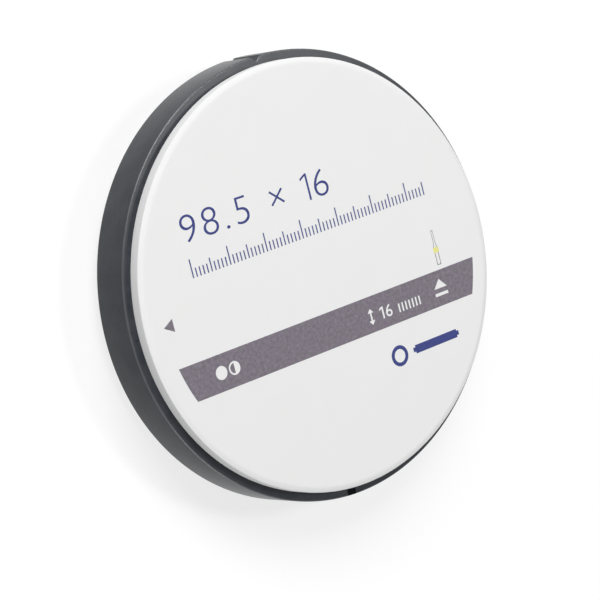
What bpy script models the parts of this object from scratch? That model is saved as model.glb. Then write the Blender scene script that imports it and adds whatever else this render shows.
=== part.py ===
"""Dental milling disc: a zirconia blank bonded into a split plastic carrier ring.

The disc lies on its back face, printed face up. The origin is the centre of the back
face, +Z is the disc's axis and +Y runs through the V notch in the ring's rim.
All lengths are in metres.
"""
import math

import bmesh
import bpy
from mathutils import Matrix, Vector
from mathutils.geometry import delaunay_2d_cdt

MM = 0.001

# Carrier ring
RIM_DIAMETER = 98.5 * MM
FLANGE_THICKNESS = 10.0 * MM
FLANGE_WIDTH = 1.75 * MM
RIM_FILLET = 0.25 * MM
NOTCH_WIDTH = 2.8 * MM
NOTCH_DEPTH = 1.15 * MM
NOTCH_ROOT_RADIUS = 0.25 * MM
NOTCH_ANGLE = math.radians(90)
SPLIT_WIDTH = 2.3 * MM
SPLIT_ANGLE = math.radians(-96)

# Filler in the ring's split
FILLER_CLEARANCE = 0.3 * MM
FILLER_RECESS = 0.15 * MM
FILLER_ROUND = 0.1 * MM

# Zirconia blank
BOND_CLEARANCE = 0.3 * MM
SHOULDER_HEIGHT = 3.0 * MM
CHAMFER_WIDTH = 1.12 * MM
CHAMFER_DROP = 0.4 * MM
EDGE_RADIUS = 0.25 * MM

# Print on the face, measured from the middle of the print
PRINT_SHIFT_X = 0.2 * MM
PRINT_SHIFT_Y = 0.9 * MM
PRINT_TURN = math.radians(-0.85)
PRINT_INSET = 3.28 * MM
BAND_DROP = 9.2 * MM
BAND_HEIGHT = 7.94 * MM
POINTER_LENGTH = 2.5 * MM
POINTER_WIDTH = 2.85 * MM

# Facets
FACET_ANGLE = math.radians(2)
FILLET_STEPS = 4
ROUND_STEPS = 3
SHARP_ANGLE = math.radians(30)
MERGE_DISTANCE = 1e-7

# Sizes that follow from the ones above
RIM_RADIUS = RIM_DIAMETER / 2
BORE_RADIUS = RIM_RADIUS - FLANGE_WIDTH
BLANK_RADIUS = BORE_RADIUS - BOND_CLEARANCE
BLANK_THICKNESS = FLANGE_THICKNESS + 2 * SHOULDER_HEIGHT
FACE_RADIUS = BLANK_RADIUS - CHAMFER_WIDTH
PRINT_RADIUS = FACE_RADIUS - PRINT_INSET
FILLER_WIDTH = SPLIT_WIDTH - 2 * FILLER_CLEARANCE
FILLER_THICKNESS = FLANGE_THICKNESS - 2 * FILLER_RECESS

# Colours, linear
ZIRCONIA_WHITE = (0.84, 0.84, 0.835)
INK_MAUVE = (0.20, 0.175, 0.215)
RING_GREY = (0.045, 0.05, 0.058)
FILLER_BLACK = (0.006, 0.006, 0.007)


def clear_scene():
    """Remove every object the file opens with."""
    for item in list(bpy.data.objects):
        bpy.data.objects.remove(item, do_unlink=True)


def make_material(name, colour, roughness, specular=0.5):
    """A plain Principled material."""
    material = bpy.data.materials.new(name)
    material.use_nodes = True
    shader = material.node_tree.nodes["Principled BSDF"]
    shader.inputs["Base Color"].default_value = (*colour, 1.0)
    shader.inputs["Roughness"].default_value = roughness
    shader.inputs["Metallic"].default_value = 0.0
    shader.inputs["Specular IOR Level"].default_value = specular
    material.diffuse_color = (*colour, 1.0)
    return material


def polar(radius, angle):
    """The point at a radius and an angle about the disc's axis."""
    return Vector((radius * math.cos(angle), radius * math.sin(angle)))


def arc(radius, start, end):
    """Points along an arc about the disc's axis, both ends included."""
    count = max(1, math.ceil(abs(end - start) / FACET_ANGLE))
    return [polar(radius, start + (end - start) * step / count) for step in range(count + 1)]


def rounded_corner(before, corner, after, radius, steps):
    """Points of the arc that rounds one corner of a flat path."""
    towards_before = (before - corner).normalized()
    towards_after = (after - corner).normalized()
    half_angle = towards_before.angle(towards_after) / 2
    reach = radius / math.tan(half_angle)
    bisector = (towards_before + towards_after).normalized()
    centre = corner + bisector * (radius / math.sin(half_angle))
    first = (corner + towards_before * reach - centre).normalized()
    last = (corner + towards_after * reach - centre).normalized()
    return [centre + radius * first.slerp(last, step / steps) for step in range(steps + 1)]


def half_opening(width, radius):
    """Half the angle that a gap of a given width takes at a radius."""
    return math.asin(width / 2 / radius)


def rim_outline():
    """The ring's outer edge, anticlockwise from the split, through the V notch, to the split."""
    split_half = half_opening(SPLIT_WIDTH, RIM_RADIUS)
    notch_half = half_opening(NOTCH_WIDTH, RIM_RADIUS)
    right_side = arc(RIM_RADIUS, SPLIT_ANGLE + split_half, NOTCH_ANGLE - notch_half)
    left_side = arc(RIM_RADIUS, NOTCH_ANGLE + notch_half, SPLIT_ANGLE + math.tau - split_half)
    root = polar(RIM_RADIUS - NOTCH_DEPTH, NOTCH_ANGLE)
    notch = rounded_corner(right_side[-1], root, left_side[0], NOTCH_ROOT_RADIUS, ROUND_STEPS)
    return right_side + notch + left_side


def bore_outline():
    """The ring's inner edge, clockwise from one side of the split to the other."""
    split_half = half_opening(SPLIT_WIDTH, BORE_RADIUS)
    return arc(BORE_RADIUS, SPLIT_ANGLE + math.tau - split_half, SPLIT_ANGLE + split_half)


def filler_outline():
    """The filler between the split's parallel walls, from the rim's circle to the bore's."""
    rim_half = half_opening(FILLER_WIDTH, RIM_RADIUS)
    bore_half = half_opening(FILLER_WIDTH, BORE_RADIUS)
    outer = arc(RIM_RADIUS, SPLIT_ANGLE - rim_half, SPLIT_ANGLE + rim_half)
    inner = arc(BORE_RADIUS, SPLIT_ANGLE + bore_half, SPLIT_ANGLE - bore_half)
    return outer + inner


def push_outline(data, outline, thickness):
    """Push an outline up from height zero; returns its bottom and top loops of vertices."""
    bottom = [data.verts.new((*point, 0.0)) for point in outline]
    top = [data.verts.new((*point, thickness)) for point in outline]
    for index in range(len(outline)):
        following = (index + 1) % len(outline)
        data.faces.new((bottom[index], bottom[following], top[following], top[index]))
    data.faces.new(reversed(bottom))
    data.faces.new(top)
    data.normal_update()
    return bottom, top


def round_edges(data, edges, radius, steps):
    """Fillet the given edges."""
    bmesh.ops.bevel(
        data,
        geom=edges,
        offset=radius,
        segments=steps,
        profile=0.5,
        affect="EDGES",
        clamp_overlap=False,
    )


def finish_object(name, mesh_data, materials, parent, height):
    """Turn a bmesh into a smooth-shaded object standing at a height above the back face."""
    bmesh.ops.recalc_face_normals(mesh_data, faces=mesh_data.faces)
    mesh = bpy.data.meshes.new(name)
    mesh_data.to_mesh(mesh)
    mesh_data.free()
    for material in materials:
        mesh.materials.append(material)
    mesh.shade_smooth()
    mesh.set_sharp_from_angle(angle=SHARP_ANGLE)
    piece = bpy.data.objects.new(name, mesh)
    bpy.context.scene.collection.objects.link(piece)
    piece.parent = parent
    piece.location.z = height
    return piece


def make_carrier_ring(parent):
    """The ring: one outline pushed through the flange, its rim and notch edges filleted."""
    rim = rim_outline()
    data = bmesh.new()
    bottom, top = push_outline(data, rim + bore_outline(), FLANGE_THICKNESS)
    rim_edges = [
        data.edges.get((loop[index], loop[index + 1]))
        for loop in (bottom, top)
        for index in range(len(rim) - 1)
    ]
    round_edges(data, rim_edges, RIM_FILLET, FILLET_STEPS)
    flats = [face for face in data.faces if len(face.verts) > 4]
    bmesh.ops.triangulate(data, faces=flats, ngon_method="BEAUTY")
    material = make_material("ring_plastic", RING_GREY, 0.35)
    return finish_object("carrier_ring", data, [material], parent, SHOULDER_HEIGHT)


def make_joint_filler(parent):
    """The filler: a rounded strip in the ring's split, level with the rim."""
    data = bmesh.new()
    push_outline(data, filler_outline(), FILLER_THICKNESS)
    round_edges(data, data.edges[:], FILLER_ROUND, ROUND_STEPS)
    material = make_material("black_filler", FILLER_BLACK, 0.5)
    height = SHOULDER_HEIGHT + FILLER_RECESS
    return finish_object("joint_filler", data, [material], parent, height)


def blank_profile():
    """The blank's edge as (radius, height) points, from its top flat down to its bottom flat."""
    top_corners = [
        Vector((0.0, BLANK_THICKNESS)),
        Vector((FACE_RADIUS, BLANK_THICKNESS)),
        Vector((BLANK_RADIUS, BLANK_THICKNESS - CHAMFER_DROP)),
        Vector((BLANK_RADIUS, BLANK_THICKNESS / 2)),
    ]
    upper = []
    for before, corner, after in zip(top_corners, top_corners[1:], top_corners[2:]):
        upper += rounded_corner(before, corner, after, EDGE_RADIUS, ROUND_STEPS)
    lower = [Vector((point.x, BLANK_THICKNESS - point.y)) for point in reversed(upper)]
    return upper + lower


def band_outline():
    """The band across the print, its ends following the print's circle."""
    top = math.asin(-BAND_DROP / PRINT_RADIUS)
    bottom = math.asin(-(BAND_DROP + BAND_HEIGHT) / PRINT_RADIUS)
    right_end = arc(PRINT_RADIUS, bottom, top)
    left_end = arc(PRINT_RADIUS, math.pi - top, math.pi - bottom)
    return right_end + left_end


def pointer_outline():
    """The triangle at the print's left edge, pointing outwards."""
    back = POINTER_LENGTH - PRINT_RADIUS
    return [
        Vector((-PRINT_RADIUS, 0.0)),
        Vector((back, -POINTER_WIDTH / 2)),
        Vector((back, POINTER_WIDTH / 2)),
    ]


def place_print(outline):
    """Move an outline from the print's own axes to the disc's."""
    turn = Matrix.Rotation(PRINT_TURN, 2)
    shift = Vector((PRINT_SHIFT_X, PRINT_SHIFT_Y))
    return [turn @ point + shift for point in outline]


def fill_printed_face(data, edge, fields):
    """Fill the loop of vertices and give each printed field inside it its material index."""
    outlines = [[vertex.co.xy for vertex in edge]]
    outlines += [place_print(outline) for outline, _ in fields]
    material_indices = [0] + [material_index for _, material_index in fields]
    points = []
    loops = []
    for outline in outlines:
        loops.append(range(len(points), len(points) + len(outline)))
        points += outline
    inside_outlines = 1
    spots, _, triangles, spot_sources, _, triangle_sources = delaunay_2d_cdt(
        points, [], loops, inside_outlines, MERGE_DISTANCE
    )
    height = edge[0].co.z
    vertices = []
    for spot, sources in zip(spots, spot_sources):
        on_edge = [source for source in sources if source < len(edge)]
        vertices.append(edge[on_edge[0]] if on_edge else data.verts.new((*spot, height)))
    for triangle, sources in zip(triangles, triangle_sources):
        face = data.faces.new([vertices[index] for index in triangle])
        face.material_index = material_indices[max(sources)]


def make_zirconia_blank(parent):
    """The blank: a turned edge, a plain back and a face divided into its printed fields."""
    facets = round(math.tau / FACET_ANGLE)
    data = bmesh.new()
    rings = []
    for radius, height in blank_profile():
        points = [polar(radius, math.tau * step / facets) for step in range(facets)]
        rings.append([data.verts.new((*point, height)) for point in points])
    for upper, lower in zip(rings, rings[1:]):
        for step in range(facets):
            following = (step + 1) % facets
            data.faces.new((upper[step], lower[step], lower[following], upper[following]))
    ink_index = 1
    fill_printed_face(data, rings[0], [(band_outline(), ink_index), (pointer_outline(), ink_index)])
    data.faces.new(reversed(rings[-1]))
    materials = [
        make_material("zirconia", ZIRCONIA_WHITE, 0.6),
        make_material("mauve_ink", INK_MAUVE, 0.6),
    ]
    return finish_object("zirconia_blank", data, materials, parent, 0.0)


def main():
    clear_scene()
    disc = bpy.data.objects.new("milling_disc", None)
    bpy.context.scene.collection.objects.link(disc)
    make_zirconia_blank(disc)
    make_carrier_ring(disc)
    make_joint_filler(disc)


main()
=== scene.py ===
"""Looks of the dental milling disc: fine surfaces, print, materials, light and camera.

The disc lies on its back face, printed face up, on a floor that the camera sees as white.
Everything is in metres, in the frame's axes: +Z is the disc's axis and +Y runs through the
V notch. The print has axes of its own, which place_print turns and shifts into the frame's.
"""
import math

import bmesh
import bpy
from mathutils import Matrix, Vector
from mathutils.geometry import delaunay_2d_cdt


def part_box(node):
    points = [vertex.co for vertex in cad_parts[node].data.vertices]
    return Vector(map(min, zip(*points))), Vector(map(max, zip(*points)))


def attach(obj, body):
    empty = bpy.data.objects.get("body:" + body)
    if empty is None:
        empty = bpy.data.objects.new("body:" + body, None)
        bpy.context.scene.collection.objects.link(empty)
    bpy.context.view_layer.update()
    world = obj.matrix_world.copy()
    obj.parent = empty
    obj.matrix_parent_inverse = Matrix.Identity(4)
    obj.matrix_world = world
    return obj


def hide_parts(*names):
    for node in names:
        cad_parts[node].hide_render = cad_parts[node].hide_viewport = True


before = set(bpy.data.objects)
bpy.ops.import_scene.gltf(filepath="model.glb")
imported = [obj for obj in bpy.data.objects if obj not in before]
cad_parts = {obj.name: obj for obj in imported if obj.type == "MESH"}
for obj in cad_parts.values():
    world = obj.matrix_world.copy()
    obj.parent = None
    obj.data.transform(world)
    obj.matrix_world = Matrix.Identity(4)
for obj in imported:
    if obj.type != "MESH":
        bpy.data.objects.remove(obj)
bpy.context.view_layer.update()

MM = 0.001

# Carrier ring and the near-black strip of painted shade in its split, where the frame's boxes don't
# give the size
RIM_FILLET = 0.25 * MM
NOTCH_WIDTH = 2.8 * MM
NOTCH_DEPTH = 1.15 * MM
NOTCH_ROOT_RADIUS = 0.25 * MM
NOTCH_ANGLE = math.radians(90)
SPLIT_WIDTH = 2.3 * MM
SPLIT_SHADE_ROUND = 0.1 * MM
SEAM = 0.01 * MM

# Zirconia blank
CHAMFER_WIDTH = 1.12 * MM
CHAMFER_DROP = 0.4 * MM
FACE_RADIUS = 2.5 * MM
EDGE_RADIUS = 0.25 * MM

# Print on the face
INK_THICKNESS = 0.02 * MM
PRINT_SHIFT = Vector((0.2, 0.9)) * MM
PRINT_TURN = math.radians(-0.85)
PRINT_INSET = 3.28 * MM
BAND_DROP = 9.2 * MM
BAND_HEIGHT = 7.94 * MM
POINTER_LENGTH = 2.5 * MM
POINTER_WIDTH = 2.85 * MM

# Numbers, each in a box given by its left and lower edge, width and height
NUMBER_SPACING = 1.15
WIDTH_TEXT = "98.5 ×"
WIDTH_BOX = (-32.6 * MM, 15.3 * MM, 27.9 * MM, 5.9 * MM)
HEIGHT_BOX = (0.3 * MM, 15.3 * MM, 7.15 * MM, 5.9 * MM)
SIZE_THINNING = 0.16 * MM
SIZE_LINE = 0.5 * MM
BAND_NUMBER_BOX = (12.6 * MM, -15.05 * MM, 3.5 * MM, 2.75 * MM)
BAND_NUMBER_THINNING = -0.03 * MM
BAND_NUMBER_LINE = 0.45 * MM

# The six and the flag of the one in the blank's thickness, as shares of its height
SIX_WIDTH = 0.65
FLAG_WIDTH = 0.25
FLAG_DROP = 0.14

# Scale under the size: its place, its ticks' heights and how often a longer tick comes
SCALE_LEFT = -32.6 * MM
SCALE_BOTTOM = 7.9 * MM
TICK_COUNT = 66
TICK_PITCH = 1.0 * MM
TICK_WIDTH = 0.3 * MM
SHORT_TICK = 2.0 * MM
MIDDLE_TICK = 3.0 * MM
MIDDLE_TICK_EVERY = 5
LONG_TICK = 4.1 * MM
LONG_TICK_EVERY = 10

# The disc from above and from the side, under the band
VIEWS_Y = -24.2 * MM
TOP_VIEW_X = 15.15 * MM
TOP_VIEW_RADIUS = 2.35 * MM
TOP_VIEW_LINE = 0.85 * MM
SIDE_VIEW_X = 26.0 * MM
SIDE_VIEW_FLANGE = (13.6 * MM, 1.0 * MM)
SIDE_VIEW_BLANK = (12.3 * MM, 1.9 * MM)

# Marks left white in the band
FULL_SPOT_X = -31.7 * MM
HALF_SPOT_X = -28.2 * MM
SPOT_RADIUS = 1.5 * MM
SPOT_LINE = 0.4 * MM
ARROW_X = 10.1 * MM
ARROW_DROP = 0.5 * MM
ARROW_LENGTH = 3.7 * MM
ARROW_HEAD_LENGTH = 1.0 * MM
ARROW_HEAD_WIDTH = 1.7 * MM
ARROW_LINE = 0.45 * MM
DASHES_LEFT = 18.0 * MM
DASHES_BOTTOM = -15.05 * MM
DASH_COUNT = 7
DASH_PITCH = 1.0 * MM
DASH_WIDTH = 0.42 * MM
DASH_HEIGHT = 2.0 * MM
CAP_LEFT = 28.9 * MM
CAP_WIDTH = 3.8 * MM
CAP_BOTTOM = -13.2 * MM
CAP_HEIGHT = 2.1 * MM
CAP_BAR_BOTTOM = -14.9 * MM
CAP_BAR_HEIGHT = 0.7 * MM

# Milling tool above the band
TOOL_X = 32.1 * MM
TOOL_BOTTOM = -8.15 * MM
TOOL_NECK_BOTTOM = -3.0 * MM
TOOL_TOP = -0.25 * MM
TOOL_SHANK = 0.55 * MM
TOOL_NECK = 0.28 * MM
TOOL_LINE = 0.16 * MM
TOOL_NECK_LINE = 0.1 * MM
COLLAR_BOTTOM = -5.3 * MM
COLLAR_WIDTH = 1.5 * MM
COLLAR_HEIGHT = 1.15 * MM

# Facets: how finely round forms are stepped, and from which angle an edge stays sharp
FACET_ANGLE = math.radians(0.75)
FILLET_STEPS = 6
ROUND_STEPS = 5
MARK_STEPS = 40
ROUND_PROFILE = 0.5
SHARP_ANGLE = math.radians(30)
MERGE_DISTANCE = 1e-8

# Camera: where it looks on the printed face, and from where
CAMERA_AIM = Vector((-7.286, -3.459)) * MM
CAMERA_DISTANCE = 590.8 * MM
CAMERA_AZIMUTH = math.radians(163.70)
CAMERA_ELEVATION = math.radians(53.596)
CAMERA_ROLL = math.radians(88.23)
CAMERA_LENS = 164.68

# Light: at level 1 a lamp or the sky alone renders white as white on a surface that faces it.
# A softbox has its azimuth and elevation in degrees, and its width in metres.
SKY_LEVEL = 0.21
SOFTBOX_DISTANCE = 1.6
SOFTBOXES = {
    "key": {"azimuth": 95, "elevation": 42, "width": 0.9, "level": 0.70},
    "fill": {"azimuth": 240, "elevation": 14, "width": 0.9, "level": 0.36},
    "front": {"azimuth": 125, "elevation": 14, "width": 0.9, "level": 0.28},
    "back": {"azimuth": 5, "elevation": 58, "width": 0.3, "level": 0.25},
}

# Floor
FLOOR_SIZE = 6.0
FLOOR_GREY = 0.33
FLOOR_GLOW = 0.71
FLOOR_ROUGHNESS = 1.0
FLOOR_SPECULAR = 0.0

# Colours, linear
WHITE = (1.0, 1.0, 1.0)
ZIRCONIA_LIGHT = (0.842, 0.842, 0.842)
ZIRCONIA_DARK = (0.832, 0.832, 0.829)
RING_LIGHT = (0.051, 0.055, 0.064)
RING_DARK = (0.033, 0.037, 0.044)
# Near-black of the strip in the ring's split: painted shade, the dark of the deep split
SPLIT_SHADE_LIGHT = (0.003, 0.003, 0.004)
SPLIT_SHADE_DARK = (0.001, 0.001, 0.002)
MAUVE_LIGHT = (0.206, 0.180, 0.218)
MAUVE_DARK = (0.124, 0.107, 0.132)
BLUE_LIGHT = (0.026, 0.040, 0.205)
BLUE_DARK = (0.017, 0.027, 0.150)
GREY_LIGHT = (0.16, 0.16, 0.17)
GREY_DARK = (0.11, 0.11, 0.12)
YELLOW_LIGHT = (0.80, 0.77, 0.27)
YELLOW_DARK = (0.74, 0.71, 0.22)

# Finishes: sizes of the two patterns, lowest and highest roughness, gloss, height of the grain,
# and how much longer the grain runs across the disc's axis than along it
PLASTIC_FINISH = {
    "blotch": 6 * MM,
    "grain": 0.12 * MM,
    "roughness": (0.27, 0.33),
    "specular": 0.15,
    "bump": 0.002 * MM,
    "streak": 25,
}
EDGE_FINISH = {
    "blotch": 6 * MM,
    "grain": 2 * MM,
    "roughness": (0.2, 0.26),
    "specular": 0.75,
    "bump": 0.001 * MM,
}
# Finish of the strip of painted shade in the ring's split
SPLIT_SHADE_FINISH = {
    "blotch": 1 * MM,
    "grain": 0.2 * MM,
    "roughness": (0.5, 0.7),
    "specular": 0.05,
    "bump": 0.01 * MM,
}
ZIRCONIA_FINISH = {
    "blotch": 9 * MM,
    "grain": 0.3 * MM,
    "roughness": (0.75, 0.9),
    "specular": 0.2,
    "bump": 0.004 * MM,
}
BAND_INK_FINISH = {
    "blotch": 0.8 * MM,
    "grain": 0.25 * MM,
    "roughness": (0.5, 0.65),
    "specular": 0.4,
    "bump": 0.003 * MM,
}
NUMBER_INK_FINISH = {
    "blotch": 0.8 * MM,
    "grain": 0.2 * MM,
    "roughness": (0.5, 0.65),
    "specular": 0.4,
    "bump": 0.003 * MM,
}
TOOL_INK_FINISH = {
    "blotch": 0.5 * MM,
    "grain": 0.15 * MM,
    "roughness": (0.5, 0.65),
    "specular": 0.4,
    "bump": 0.003 * MM,
}

# Noise: detail and roughness of the two patterns, and the parts of their range that are used
BLOTCH_NOISE = (2.0, 0.5)
GRAIN_NOISE = (3.0, 0.6)
COLOUR_SPAN = (0.38, 0.62)
ROUGHNESS_SPAN = (0.3, 0.7)


def polar(radius, angle):
    """The point at a radius and an angle about the disc's axis."""
    return Vector((radius * math.cos(angle), radius * math.sin(angle)))


def arc(radius, start, end):
    """Points along an arc about the disc's axis, both ends included."""
    count = max(1, math.ceil(abs(end - start) / FACET_ANGLE))
    return [polar(radius, start + (end - start) * step / count) for step in range(count + 1)]


def rounded_corner(before, corner, after, radius, steps):
    """Points of the arc that rounds one corner of a flat path."""
    towards_before = (before - corner).normalized()
    towards_after = (after - corner).normalized()
    half_angle = towards_before.angle(towards_after) / 2
    reach = radius / math.tan(half_angle)
    bisector = (towards_before + towards_after).normalized()
    centre = corner + bisector * (radius / math.sin(half_angle))
    first = (corner + towards_before * reach - centre).normalized()
    last = (corner + towards_after * reach - centre).normalized()
    return [centre + radius * first.slerp(last, step / steps) for step in range(steps + 1)]


def half_opening(width, radius):
    """Half the angle that a gap of a given width takes at a radius."""
    return math.asin(width / 2 / radius)


def finish_piece(name, data, materials, slot, *nodes):
    """Turn a bmesh into a smooth-shaded piece of the disc that stands for the given nodes."""
    bmesh.ops.recalc_face_normals(data, faces=data.faces)
    mesh = bpy.data.meshes.new(name)
    data.to_mesh(mesh)
    data.free()
    for material in materials:
        mesh.materials.append(material)
    mesh.shade_smooth()
    mesh.set_sharp_from_angle(angle=SHARP_ANGLE)
    piece = bpy.data.objects.new(name, mesh)
    bpy.context.scene.collection.objects.link(piece)
    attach(piece, "root")
    if nodes:
        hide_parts(*nodes)


# Materials


def add_noise(material, size, streak, detail, roughness):
    """A noise texture in the disc's own coordinates; returns its strength from 0 to 1.

    size is its size along the disc's axis and streak how much longer it runs across that.
    """
    nodes = material.node_tree.nodes
    links = material.node_tree.links
    place = nodes.new("ShaderNodeTexCoord")
    stretch = nodes.new("ShaderNodeVectorMath")
    stretch.operation = "MULTIPLY"
    stretch.inputs[1].default_value = (1 / streak, 1 / streak, 1.0)
    noise = nodes.new("ShaderNodeTexNoise")
    noise.inputs["Scale"].default_value = 1 / size
    noise.inputs["Detail"].default_value = detail
    noise.inputs["Roughness"].default_value = roughness
    links.new(place.outputs["Object"], stretch.inputs[0])
    links.new(stretch.outputs["Vector"], noise.inputs["Vector"])
    return noise.outputs["Fac"]


def add_range(material, source, low, high, out_low, out_high):
    """Stretch a value from one range to another, held at both ends."""
    node = material.node_tree.nodes.new("ShaderNodeMapRange")
    node.inputs["From Min"].default_value = low
    node.inputs["From Max"].default_value = high
    node.inputs["To Min"].default_value = out_low
    node.inputs["To Max"].default_value = out_high
    material.node_tree.links.new(source, node.inputs["Value"])
    return node.outputs["Result"]


def add_mix(material, factor, dark, light):
    """Mix two colours by a factor."""
    node = material.node_tree.nodes.new("ShaderNodeMix")
    node.data_type = "RGBA"
    node.inputs["A"].default_value = (*dark, 1.0)
    node.inputs["B"].default_value = (*light, 1.0)
    material.node_tree.links.new(factor, node.inputs["Factor"])
    return node.outputs["Result"]


def add_average(material, first, second):
    """Average two factors."""
    share = 0.5
    node = material.node_tree.nodes.new("ShaderNodeMath")
    node.operation = "MULTIPLY_ADD"
    node.inputs[1].default_value = share
    half = material.node_tree.nodes.new("ShaderNodeMath")
    half.operation = "MULTIPLY"
    half.inputs[1].default_value = share
    material.node_tree.links.new(second, half.inputs[0])
    material.node_tree.links.new(first, node.inputs[0])
    material.node_tree.links.new(half.outputs["Value"], node.inputs[2])
    return node.outputs["Value"]


def make_material(name, dark, light, blotch, grain, roughness, specular, bump, streak=1.0):
    """A surface whose colour and roughness vary in blotches and grain, with a fine bump.

    blotch and grain are the sizes of the two patterns, roughness is its lowest and
    highest value, bump is the height of the grain and streak how much longer the grain
    runs across the disc's axis than along it.
    """
    material = bpy.data.materials.new(name)
    material.use_nodes = True
    nodes = material.node_tree.nodes
    links = material.node_tree.links
    shader = nodes["Principled BSDF"]
    shader.inputs["Specular IOR Level"].default_value = specular
    blotches = add_noise(material, blotch, 1.0, *BLOTCH_NOISE)
    grains = add_noise(material, grain, streak, *GRAIN_NOISE)
    pattern = add_range(material, add_average(material, blotches, grains), *COLOUR_SPAN, 0.0, 1.0)
    links.new(add_mix(material, pattern, dark, light), shader.inputs["Base Color"])
    rough = add_range(material, grains, *ROUGHNESS_SPAN, *roughness)
    links.new(rough, shader.inputs["Roughness"])
    height = nodes.new("ShaderNodeBump")
    height.inputs["Strength"].default_value = 1.0
    height.inputs["Distance"].default_value = bump
    links.new(grains, height.inputs["Height"])
    links.new(height.outputs["Normal"], shader.inputs["Normal"])
    return material


# Solid pieces


def rim_outline(rim_radius, split_angle):
    """The ring's outer edge, anticlockwise from the split, through the V notch, to the split."""
    split_half = half_opening(SPLIT_WIDTH, rim_radius)
    notch_half = half_opening(NOTCH_WIDTH, rim_radius)
    right_side = arc(rim_radius, split_angle + split_half, NOTCH_ANGLE - notch_half)
    left_side = arc(rim_radius, NOTCH_ANGLE + notch_half, split_angle + math.tau - split_half)
    root = polar(rim_radius - NOTCH_DEPTH, NOTCH_ANGLE)
    notch = rounded_corner(right_side[-1], root, left_side[0], NOTCH_ROOT_RADIUS, ROUND_STEPS)
    return right_side + notch + left_side


def bore_outline(bore_radius, split_angle):
    """The ring's inner edge, clockwise from one side of the split to the other."""
    split_half = half_opening(SPLIT_WIDTH, bore_radius)
    return arc(bore_radius, split_angle + math.tau - split_half, split_angle + split_half)


def split_shade_outline(rim_radius, bore_radius, split_angle):
    """The near-black strip of painted shade between the split's walls, from the rim's circle to the
    bore's.
    """
    width = SPLIT_WIDTH - 2 * SEAM
    rim_half = half_opening(width, rim_radius)
    bore_half = half_opening(width, bore_radius)
    outer = arc(rim_radius, split_angle - rim_half, split_angle + rim_half)
    inner = arc(bore_radius, split_angle + bore_half, split_angle - bore_half)
    return outer + inner


def push_outline(data, outline, low, high):
    """Push an outline from one height to another; returns its two loops of vertices."""
    bottom = [data.verts.new((*point, low)) for point in outline]
    top = [data.verts.new((*point, high)) for point in outline]
    for index in range(len(outline)):
        following = (index + 1) % len(outline)
        data.faces.new((bottom[index], bottom[following], top[following], top[index]))
    data.faces.new(reversed(bottom))
    data.faces.new(top)
    data.normal_update()
    return bottom, top


def round_edges(data, edges, radius, steps):
    """Fillet the given edges; returns the fillet's faces."""
    fillet = bmesh.ops.bevel(
        data,
        geom=edges,
        offset=radius,
        segments=steps,
        profile=ROUND_PROFILE,
        affect="EDGES",
        clamp_overlap=False,
    )
    return fillet["faces"]


def make_ring(rim_radius, bore_radius, split_angle, low, high):
    """The plastic ring with its V notch, its split and the fillet round its rim."""
    plastic = make_material("ring_plastic", RING_DARK, RING_LIGHT, **PLASTIC_FINISH)
    edge_plastic = make_material("ring_edge", RING_DARK, RING_LIGHT, **EDGE_FINISH)
    materials = [plastic, edge_plastic]
    rim = rim_outline(rim_radius, split_angle)
    data = bmesh.new()
    bottom, top = push_outline(data, rim + bore_outline(bore_radius, split_angle), low, high)
    rim_edges = [
        data.edges.get((loop[index], loop[index + 1]))
        for loop in (bottom, top)
        for index in range(len(rim) - 1)
    ]
    for face in round_edges(data, rim_edges, RIM_FILLET, FILLET_STEPS):
        face.material_index = materials.index(edge_plastic)
    quad_corners = 4
    flats = [face for face in data.faces if len(face.verts) > quad_corners]
    bmesh.ops.triangulate(data, faces=flats, ngon_method="BEAUTY")
    finish_piece("ring_body", data, materials, "ring_plastic", "carrier_ring")


def make_split_shade(rim_radius, bore_radius, split_angle, low, high):
    """The near-black strip that closes the ring's split: painted shade, the dark of the deep split
    laid in as a solid piece.
    """
    data = bmesh.new()
    push_outline(data, split_shade_outline(rim_radius, bore_radius, split_angle), low, high)
    round_edges(data, data.edges[:], SPLIT_SHADE_ROUND, ROUND_STEPS)
    painted_shade = make_material("black_filler", SPLIT_SHADE_DARK, SPLIT_SHADE_LIGHT, **SPLIT_SHADE_FINISH)
    finish_piece("painted_split_shade_strip", data, [painted_shade], "black_filler", "joint_filler")


def blank_profile(radius, low, high):
    """The blank's edge as (radius, height) points, from its top flat down to its bottom flat."""
    middle = (low + high) / 2
    centre = Vector((0.0, high))
    face_edge = Vector((radius - CHAMFER_WIDTH, high))
    wall_top = Vector((radius, high - CHAMFER_DROP))
    wall_middle = Vector((radius, middle))
    upper = rounded_corner(centre, face_edge, wall_top, FACE_RADIUS, ROUND_STEPS)
    upper += rounded_corner(face_edge, wall_top, wall_middle, EDGE_RADIUS, ROUND_STEPS)
    lower = [Vector((point.x, 2 * middle - point.y)) for point in reversed(upper)]
    return upper + lower


def make_blank(radius, low, high):
    """The turned white blank, from its back face up to the underside of the ink."""
    facets = round(math.tau / FACET_ANGLE)
    data = bmesh.new()
    rings = []
    for distance, height in blank_profile(radius, low, high):
        points = [polar(distance, math.tau * step / facets) for step in range(facets)]
        rings.append([data.verts.new((*point, height)) for point in points])
    for upper, lower in zip(rings, rings[1:]):
        for step in range(facets):
            following = (step + 1) % facets
            data.faces.new((upper[step], lower[step], lower[following], upper[following]))
    data.faces.new(rings[0])
    data.faces.new(reversed(rings[-1]))
    zirconia = make_material("zirconia", ZIRCONIA_DARK, ZIRCONIA_LIGHT, **ZIRCONIA_FINISH)
    finish_piece("blank_body", data, [zirconia], "zirconia", "zirconia_blank")


# Print


def place_print(outline):
    """Move an outline from the print's own axes to the disc's."""
    turn = Matrix.Rotation(PRINT_TURN, 2)
    return [turn @ point + PRINT_SHIFT for point in outline]


def rectangle(left, bottom, width, height):
    """A rectangle from its lower left corner."""
    return [
        Vector((left, bottom)),
        Vector((left + width, bottom)),
        Vector((left + width, bottom + height)),
        Vector((left, bottom + height)),
    ]


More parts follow.
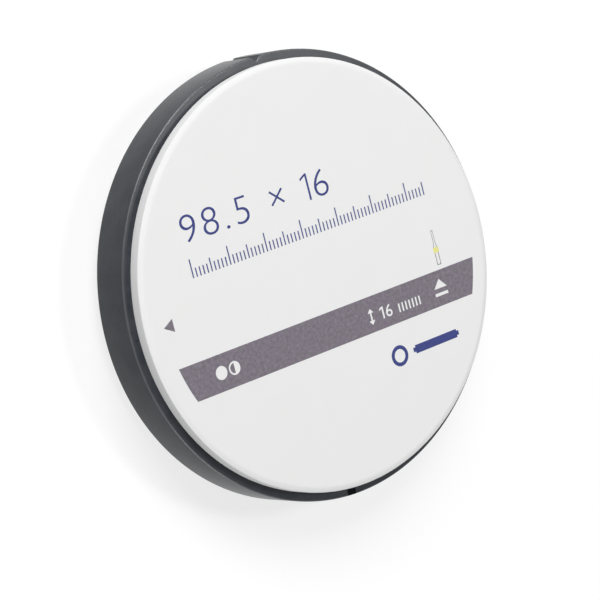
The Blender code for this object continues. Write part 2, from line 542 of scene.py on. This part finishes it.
def round_spot(centre, radius, start=0.0, end=math.tau):
    """A disc, or the part of one between two angles."""
    count = MARK_STEPS if end - start >= math.tau else MARK_STEPS + 1
    sweep = (end - start) / MARK_STEPS
    return [centre + polar(radius, start + sweep * step) for step in range(count)]


def is_clockwise(outline):
    """Whether an outline runs clockwise."""
    following = outline[1:] + outline[:1]
    return sum(first.cross(second) for first, second in zip(outline, following)) < 0


def shift_outline(outline, distance):
    """Move an outline's edges to their left by a distance."""
    moved = []
    for before, point, after in zip(outline[-1:] + outline[:-1], outline, outline[1:] + outline[:1]):
        arriving = (point - before).normalized()
        leaving = (after - point).normalized()
        left = Vector((-arriving.y, arriving.x)) + Vector((-leaving.y, leaving.x))
        moved.append(point + left * (distance * 2 / left.length_squared))
    return moved


def number_outlines(text, box, thinning):
    """Closed outlines of plain numbers that fill a box, their strokes thinned all round."""
    left, baseline, width, height = box
    curve = bpy.data.curves.new("numbers", "FONT")
    curve.body = text
    curve.fill_mode = "NONE"
    curve.space_character = NUMBER_SPACING
    writing = bpy.data.objects.new("numbers", curve)
    mesh = bpy.data.meshes.new_from_object(writing)
    spots = [vertex.co.xy for vertex in mesh.vertices]
    lowest = Vector((min(spot.x for spot in spots), min(spot.y for spot in spots)))
    highest = Vector((max(spot.x for spot in spots), max(spot.y for spot in spots)))
    size = highest - lowest
    grown = 2 * thinning
    scale = Vector(((width + grown) / size.x, (height + grown) / size.y))
    corner = Vector((left, baseline)) - Vector((thinning, thinning))
    placed = [corner + (spot - lowest) * scale for spot in spots]
    following = {edge.vertices[0]: edge.vertices[1] for edge in mesh.edges}
    outlines = []
    while following:
        index, next_index = following.popitem()
        outline = [placed[index]]
        while next_index in following:
            outline.append(placed[next_index])
            next_index = following.pop(next_index)
        outlines.append(shift_outline(outline, thinning))
    bpy.data.objects.remove(writing)
    bpy.data.meshes.remove(mesh)
    return outlines


def mirrored(middle, *right_side):
    """A closed outline from its right side, given upwards as offsets from a middle line."""
    right = [Vector((middle + offset, height)) for offset, height in right_side]
    aside = [(offset, height) for offset, height in reversed(right_side) if offset > 0]
    left = [Vector((middle - offset, height)) for offset, height in aside]
    return right + left


def sixteen(box, thinning, stroke):
    """Closed outlines of the blank's thickness in plain numbers, in a box."""
    left, bottom, width, height = box
    top = bottom + height
    stem = left + FLAG_WIDTH * height
    flag = top - FLAG_DROP * height
    one = [
        Vector((stem, bottom)),
        Vector((stem + stroke, bottom)),
        Vector((stem + stroke, top)),
        Vector((stem, top)),
        Vector((left, flag)),
        Vector((left, flag - stroke)),
        Vector((stem, top - stroke)),
    ]
    six_width = SIX_WIDTH * height
    six = number_outlines("6", (left + width - six_width, bottom, six_width, height), thinning)
    return [one] + six


def tick_height(tick):
    """The height of one of the scale's ticks, counted from its left end."""
    if tick % LONG_TICK_EVERY == 0:
        return LONG_TICK
    if tick % MIDDLE_TICK_EVERY == 0:
        return MIDDLE_TICK
    return SHORT_TICK


def scale_ticks():
    """The ticks of the millimetre scale."""
    return [
        rectangle(SCALE_LEFT + tick * TICK_PITCH, SCALE_BOTTOM, TICK_WIDTH, tick_height(tick))
        for tick in range(TICK_COUNT)
    ]


def disc_views():
    """Closed outlines of the disc seen from above, as a circle, and from the side."""
    circle = Vector((TOP_VIEW_X, VIEWS_Y))
    flange_width, flange_height = SIDE_VIEW_FLANGE
    blank_width, blank_height = SIDE_VIEW_BLANK
    side = mirrored(
        SIDE_VIEW_X,
        (blank_width / 2, VIEWS_Y - blank_height / 2),
        (blank_width / 2, VIEWS_Y - flange_height / 2),
        (flange_width / 2, VIEWS_Y - flange_height / 2),
        (flange_width / 2, VIEWS_Y + flange_height / 2),
        (blank_width / 2, VIEWS_Y + flange_height / 2),
        (blank_width / 2, VIEWS_Y + blank_height / 2),
    )
    return [
        round_spot(circle, TOP_VIEW_RADIUS),
        round_spot(circle, TOP_VIEW_RADIUS - TOP_VIEW_LINE),
        side,
    ]


def make_print(name, outlines, low, high, material):
    """A film of ink over all that lies inside an odd number of the outlines."""
    points = []
    loops = []
    for outline in outlines:
        placed = place_print(outline)
        if is_clockwise(placed):
            placed.reverse()
        loops.append(range(len(points), len(points) + len(placed)))
        points += placed
    inside_outlines = 1
    spots, _, triangles, _, _, sources = delaunay_2d_cdt(
        points, [], loops, inside_outlines, MERGE_DISTANCE
    )
    data = bmesh.new()
    corners = [data.verts.new((*spot, low)) for spot in spots]
    for triangle, owners in zip(triangles, sources):
        if len(owners) % 2 == 1:
            data.faces.new([corners[index] for index in triangle])
    unused = [corner for corner in corners if not corner.link_faces]
    bmesh.ops.delete(data, geom=unused, context="VERTS")
    copied = bmesh.ops.extrude_face_region(data, geom=data.faces[:], use_keep_orig=True)
    raised = [item for item in copied["geom"] if isinstance(item, bmesh.types.BMVert)]
    bmesh.ops.translate(data, verts=raised, vec=(0.0, 0.0, high - low))
    finish_piece(name, data, [material], "zirconia")


def band_outline(print_radius):
    """The band across the print, its ends following the print's circle."""
    top = math.asin(-BAND_DROP / print_radius)
    bottom = math.asin(-(BAND_DROP + BAND_HEIGHT) / print_radius)
    right_end = arc(print_radius, bottom, top)
    left_end = arc(print_radius, math.pi - top, math.pi - bottom)
    return right_end + left_end


def pointer_outline(print_radius):
    """The triangle at the print's left edge, pointing outwards."""
    back = POINTER_LENGTH - print_radius
    return [
        Vector((-print_radius, 0.0)),
        Vector((back, -POINTER_WIDTH / 2)),
        Vector((back, POINTER_WIDTH / 2)),
    ]


def double_arrow(centre, length, head_length, head_width, stroke):
    """An upright arrow with a head at each end."""
    tip = length / 2
    neck = tip - head_length
    return mirrored(
        centre.x,
        (0.0, centre.y - tip),
        (head_width / 2, centre.y - neck),
        (stroke / 2, centre.y - neck),
        (stroke / 2, centre.y + neck),
        (head_width / 2, centre.y + neck),
        (0.0, centre.y + tip),
    )


def make_mauve_print(print_radius, low, high):
    """The band, with its marks left white, and the pointer."""
    middle = -BAND_DROP - BAND_HEIGHT / 2
    full_spot = Vector((FULL_SPOT_X, middle))
    half_spot = Vector((HALF_SPOT_X, middle))
    arrow = Vector((ARROW_X, middle - ARROW_DROP))
    cap = [
        Vector((CAP_LEFT, CAP_BOTTOM)),
        Vector((CAP_LEFT + CAP_WIDTH, CAP_BOTTOM)),
        Vector((CAP_LEFT + CAP_WIDTH / 2, CAP_BOTTOM + CAP_HEIGHT)),
    ]
    marks = [
        round_spot(full_spot, SPOT_RADIUS),
        round_spot(half_spot, SPOT_RADIUS),
        round_spot(half_spot, SPOT_RADIUS - SPOT_LINE, math.pi / 2, math.pi * 3 / 2),
        double_arrow(arrow, ARROW_LENGTH, ARROW_HEAD_LENGTH, ARROW_HEAD_WIDTH, ARROW_LINE),
        cap,
        rectangle(CAP_LEFT, CAP_BAR_BOTTOM, CAP_WIDTH, CAP_BAR_HEIGHT),
    ]
    for dash in range(DASH_COUNT):
        left = DASHES_LEFT + dash * DASH_PITCH
        marks.append(rectangle(left, DASHES_BOTTOM, DASH_WIDTH, DASH_HEIGHT))
    marks += sixteen(BAND_NUMBER_BOX, BAND_NUMBER_THINNING, BAND_NUMBER_LINE)
    ink = make_material("mauve_ink", MAUVE_DARK, MAUVE_LIGHT, **BAND_INK_FINISH)
    outlines = [band_outline(print_radius), pointer_outline(print_radius)] + marks
    make_print("print_mauve", outlines, low, high, ink)


def make_blue_print(low, high):
    """The size in plain numbers, a millimetre scale and two small views of the disc."""
    outlines = number_outlines(WIDTH_TEXT, WIDTH_BOX, SIZE_THINNING)
    outlines += sixteen(HEIGHT_BOX, SIZE_THINNING, SIZE_LINE)
    outlines += scale_ticks()
    outlines += disc_views()
    ink = make_material("blue_ink", BLUE_DARK, BLUE_LIGHT, **NUMBER_INK_FINISH)
    make_print("print_blue", outlines, low, high, ink)


def make_tool_print(low, high):
    """The small milling tool above the band: grey outline on both sides of a yellow collar."""
    grey = make_material("grey_ink", GREY_DARK, GREY_LIGHT, **TOOL_INK_FINISH)
    yellow = make_material("yellow_ink", YELLOW_DARK, YELLOW_LIGHT, **TOOL_INK_FINISH)
    collar_top = COLLAR_BOTTOM + COLLAR_HEIGHT
    shank_inside = TOOL_SHANK - TOOL_LINE
    neck_inside = TOOL_NECK - TOOL_NECK_LINE
    outlines = [
        mirrored(TOOL_X, (TOOL_SHANK, TOOL_BOTTOM), (TOOL_SHANK, COLLAR_BOTTOM)),
        mirrored(TOOL_X, (shank_inside, TOOL_BOTTOM + TOOL_LINE), (shank_inside, COLLAR_BOTTOM)),
        mirrored(
            TOOL_X,
            (TOOL_SHANK, collar_top),
            (TOOL_NECK, TOOL_NECK_BOTTOM),
            (TOOL_NECK, TOOL_TOP),
        ),
        mirrored(
            TOOL_X,
            (shank_inside, collar_top),
            (neck_inside, TOOL_NECK_BOTTOM),
            (neck_inside, TOOL_TOP - TOOL_LINE),
        ),
    ]
    make_print("print_tool", outlines, low, high, grey)
    collar = rectangle(TOOL_X - COLLAR_WIDTH / 2, COLLAR_BOTTOM, COLLAR_WIDTH, COLLAR_HEIGHT)
    make_print("print_collar", [collar], low, high, yellow)


# Stage


def add_white_ray_factor(tree):
    """1 for camera, glossy and transmission rays, else 0."""
    path = tree.nodes.new("ShaderNodeLightPath")
    total = path.outputs["Is Camera Ray"]
    for kind in ("Is Glossy Ray", "Is Transmission Ray"):
        larger = tree.nodes.new("ShaderNodeMath")
        larger.operation = "MAXIMUM"
        tree.links.new(total, larger.inputs[0])
        tree.links.new(path.outputs[kind], larger.inputs[1])
        total = larger.outputs["Value"]
    return total


def make_floor():
    """A floor that the camera sees as white, and that keeps the disc's soft shadow."""
    half = FLOOR_SIZE / 2
    mesh = bpy.data.meshes.new("floor")
    corners = [(-half, -half, 0), (half, -half, 0), (half, half, 0), (-half, half, 0)]
    mesh.from_pydata(corners, [], [(0, 1, 2, 3)])
    floor = bpy.data.objects.new("floor", mesh)
    bpy.context.scene.collection.objects.link(floor)
    material = bpy.data.materials.new("floor_white")
    material.use_nodes = True
    tree = material.node_tree
    shader = tree.nodes["Principled BSDF"]
    shader.inputs["Base Color"].default_value = (FLOOR_GREY, FLOOR_GREY, FLOOR_GREY, 1.0)
    shader.inputs["Roughness"].default_value = FLOOR_ROUGHNESS
    shader.inputs["Specular IOR Level"].default_value = FLOOR_SPECULAR
    level = tree.nodes.new("ShaderNodeMath")
    level.operation = "MULTIPLY"
    level.inputs[1].default_value = FLOOR_GLOW
    tree.links.new(add_white_ray_factor(tree), level.inputs[0])
    glow = tree.nodes.new("ShaderNodeEmission")
    tree.links.new(level.outputs["Value"], glow.inputs["Strength"])
    both = tree.nodes.new("ShaderNodeAddShader")
    tree.links.new(shader.outputs["BSDF"], both.inputs[0])
    tree.links.new(glow.outputs["Emission"], both.inputs[1])
    tree.links.new(both.outputs["Shader"], tree.nodes["Material Output"].inputs["Surface"])
    mesh.materials.append(material)


def light_sky():
    """An even sky that the camera and reflections see as white."""
    world = bpy.data.worlds.new("studio")
    bpy.context.scene.world = world
    world.use_nodes = True
    tree = world.node_tree
    background = tree.nodes["Background"]
    background.inputs["Color"].default_value = (*WHITE, 1.0)
    strength = tree.nodes.new("ShaderNodeMapRange")
    strength.inputs["To Min"].default_value = SKY_LEVEL
    strength.inputs["To Max"].default_value = 1.0
    tree.links.new(add_white_ray_factor(tree), strength.inputs["Value"])
    tree.links.new(strength.outputs["Result"], background.inputs["Strength"])


def direction(azimuth, elevation):
    """The unit vector towards an azimuth and elevation."""
    flat = polar(math.cos(elevation), azimuth)
    return Vector((flat.x, flat.y, math.sin(elevation)))


def add_softbox(name, azimuth, elevation, width, level):
    """A square lamp aimed at the disc from an azimuth and elevation in degrees."""
    lamp = bpy.data.lights.new(name, "AREA")
    lamp.shape = "SQUARE"
    lamp.size = width
    lamp.energy = level * math.pi**2 * SOFTBOX_DISTANCE**2
    softbox = bpy.data.objects.new(name, lamp)
    bpy.context.scene.collection.objects.link(softbox)
    towards = direction(math.radians(azimuth), math.radians(elevation))
    softbox.location = towards * SOFTBOX_DISTANCE
    softbox.rotation_euler = towards.to_track_quat("Z", "Y").to_euler()


def add_camera(face_height):
    """The camera, at the photograph's angle on the printed face."""
    lens = bpy.data.cameras.new("camera")
    lens.lens = CAMERA_LENS
    camera = bpy.data.objects.new("camera", lens)
    bpy.context.scene.collection.objects.link(camera)
    back = direction(CAMERA_AZIMUTH, CAMERA_ELEVATION)
    upright = back.to_track_quat("Z", "Y").to_matrix()
    turn = Matrix.Rotation(CAMERA_ROLL, 3, "Z")
    camera.rotation_euler = (upright @ turn).to_euler()
    camera.location = Vector((*CAMERA_AIM, face_height)) + back * CAMERA_DISTANCE
    bpy.context.scene.camera = camera


def make_disc():
    """Every piece of the disc, sized by the frame's boxes."""
    blank_low, blank_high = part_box("zirconia_blank")
    ring_low, ring_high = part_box("carrier_ring")
    shade_strip_low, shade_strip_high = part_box("joint_filler")
    blank_radius = (blank_high.x - blank_low.x) / 2
    rim_radius = (ring_high.x - ring_low.x) / 2
    bore_radius = blank_radius + SEAM
    shade_strip_middle = (shade_strip_low + shade_strip_high) / 2
    split_angle = math.atan2(shade_strip_middle.y, shade_strip_middle.x)
    print_radius = blank_radius - CHAMFER_WIDTH - PRINT_INSET
    ink_low = blank_high.z - INK_THICKNESS
    ink_high = blank_high.z
    make_blank(blank_radius, blank_low.z, ink_low)
    make_ring(rim_radius, bore_radius, split_angle, ring_low.z, ring_high.z)
    make_split_shade(rim_radius, bore_radius, split_angle, shade_strip_low.z, shade_strip_high.z)
    make_mauve_print(print_radius, ink_low, ink_high)
    make_blue_print(ink_low, ink_high)
    make_tool_print(ink_low, ink_high)


def make_stage():
    """Floor, light and camera."""
    make_floor()
    light_sky()
    for name, settings in SOFTBOXES.items():
        add_softbox(name, **settings)
    add_camera(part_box("zirconia_blank")[1].z)


make_disc()
make_stage()
bpy.context.scene.view_settings.view_transform = "Standard"
